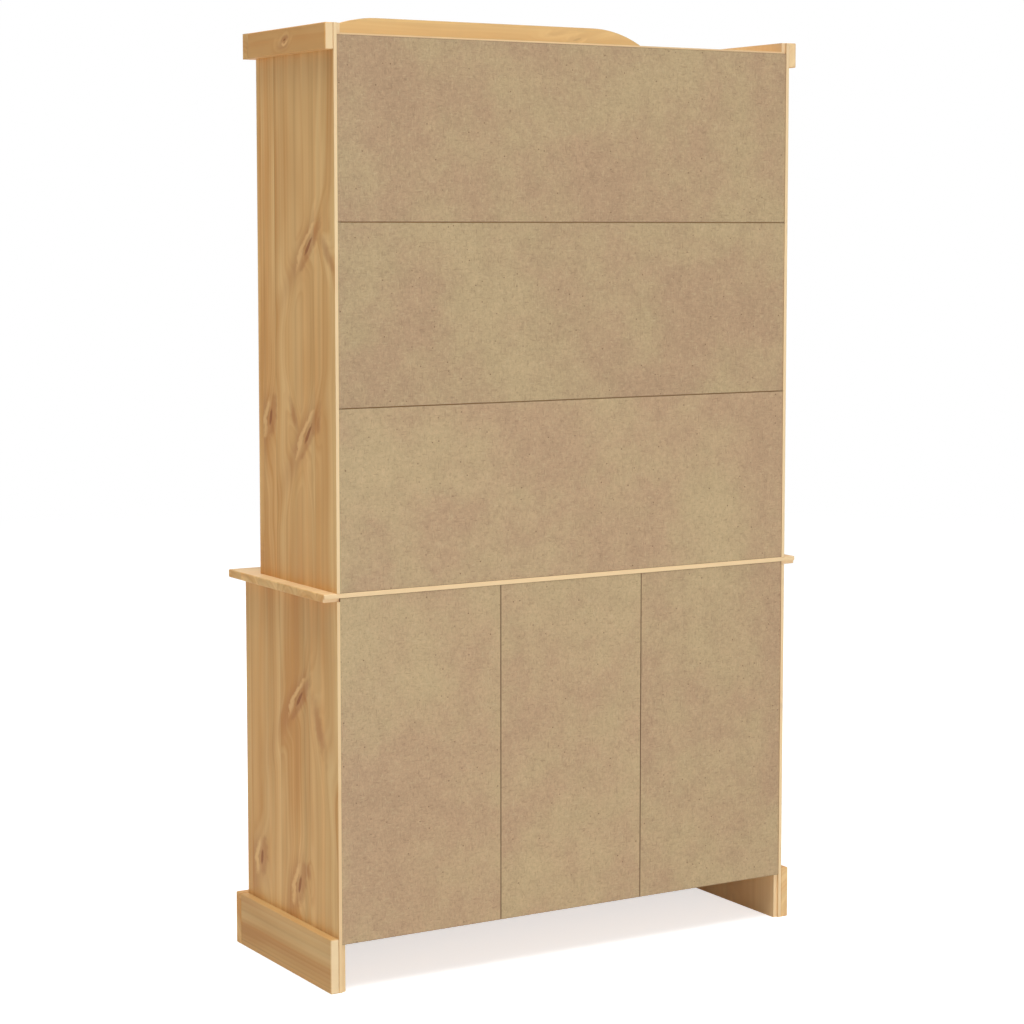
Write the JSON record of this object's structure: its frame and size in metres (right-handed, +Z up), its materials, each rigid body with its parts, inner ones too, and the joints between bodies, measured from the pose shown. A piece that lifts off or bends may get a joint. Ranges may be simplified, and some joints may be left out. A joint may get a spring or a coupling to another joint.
{
  "type": "highboard",
  "caption": "Pine highboard: a sideboard base with drawers and panelled doors carries a shallower hutch with glazed doors and shelves under a cornice with a shaped crest.",
  "frame": {"origin": "on the floor, below the middle of the outer box", "axes": "+Z up, the front with its doors and drawers faces -Y, the back stands against a wall at +Y, +X to the right as seen from the front"},
  "size_m": [1.12, 0.43, 1.9],
  "materials": {
    "pine": "waxed",
    "hardboard": "raw hardboard",
    "drawer_wood": "planed",
    "beech": "planed",
    "glass": "clear",
    "black_iron": "satin",
    "catch_plastic": "matte"
  },
  "bodies": {
    "cabinet": {"base_top": "pine", "base_side_left": "pine", "base_side_right": "pine", "base_bottom": "pine", "base_dividers": "pine", "base_shelves": "pine", "shelf_cleats": "pine", "base_face_frame": "pine", "plinth_left": "pine", "plinth_right": "pine", "plinth_front": "pine", "drawer_runners": "pine", "hutch_side_left": "pine", "hutch_side_right": "pine", "hutch_top": "pine", "hutch_shelves": "pine", "hutch_face_frame": "pine", "cornice_left": "pine", "cornice_right": "pine", "crest_board": "pine", "base_back_left": "hardboard", "base_back_centre": "hardboard", "base_back_right": "hardboard", "hutch_back_lower": "hardboard", "hutch_back_middle": "hardboard", "hutch_back_upper": "hardboard", "hinge_frame_leaves": "black_iron", "hinge_pins": "black_iron", "door_catches": "catch_plastic", "locating_dowels": "beech"},
    "drawer_left": {"drawer_left_front": "pine", "drawer_left_box": "drawer_wood", "drawer_left_knob": "black_iron"},
    "base_door_left": {"base_door_left_frame": "pine", "base_door_left_panel": "pine", "base_door_left_knob": "black_iron", "base_door_left_hinge_leaves": "black_iron"},
    "drawer_centre": {"drawer_centre_front": "pine", "drawer_centre_box": "drawer_wood", "drawer_centre_knob": "black_iron"},
    "base_door_centre": {"base_door_centre_frame": "pine", "base_door_centre_panel": "pine", "base_door_centre_knob": "black_iron", "base_door_centre_hinge_leaves": "black_iron"},
    "drawer_right": {"drawer_right_front": "pine", "drawer_right_box": "drawer_wood", "drawer_right_knob": "black_iron"},
    "base_door_right": {"base_door_right_frame": "pine", "base_door_right_panel": "pine", "base_door_right_knob": "black_iron", "base_door_right_hinge_leaves": "black_iron"},
    "hutch_door_left": {"hutch_door_left_frame": "pine", "hutch_door_left_glass": "glass", "hutch_door_left_knob": "black_iron", "hutch_door_left_hinge_leaves": "black_iron"},
    "hutch_door_right": {"hutch_door_right_frame": "pine", "hutch_door_right_glass": "glass", "hutch_door_right_knob": "black_iron", "hutch_door_right_hinge_leaves": "black_iron"}
  },
  "joints": [
    {"name": "drawer_left_slide", "type": "slide", "parent": "cabinet", "child": "drawer_left", "axis": [0, -1, 0], "range_m": [0, 0.26]},
    {"name": "base_door_left_hinge", "type": "hinge", "parent": "cabinet", "child": "base_door_left", "pos_m": [-0.486, -0.197, 0.359], "axis": [0, 0, -1], "range_deg": [0, 110]},
    {"name": "drawer_centre_slide", "type": "slide", "parent": "cabinet", "child": "drawer_centre", "axis": [0, -1, 0], "range_m": [0, 0.26]},
    {"name": "base_door_centre_hinge", "type": "hinge", "parent": "cabinet", "child": "base_door_centre", "pos_m": [-0.1465, -0.197, 0.359], "axis": [0, 0, -1], "range_deg": [0, 95]},
    {"name": "drawer_right_slide", "type": "slide", "parent": "cabinet", "child": "drawer_right", "axis": [0, -1, 0], "range_m": [0, 0.26]},
    {"name": "base_door_right_hinge", "type": "hinge", "parent": "cabinet", "child": "base_door_right", "pos_m": [0.486, -0.197, 0.359], "axis": [0, 0, 1], "range_deg": [0, 110]},
    {"name": "hutch_door_left_hinge", "type": "hinge", "parent": "cabinet", "child": "hutch_door_left", "pos_m": [-0.481, -0.126, 1.3], "axis": [0, 0, -1], "range_deg": [0, 110]},
    {"name": "hutch_door_right_hinge", "type": "hinge", "parent": "cabinet", "child": "hutch_door_right", "pos_m": [0.481, -0.126, 1.3], "axis": [0, 0, 1], "range_deg": [0, 110]}
  ]
}
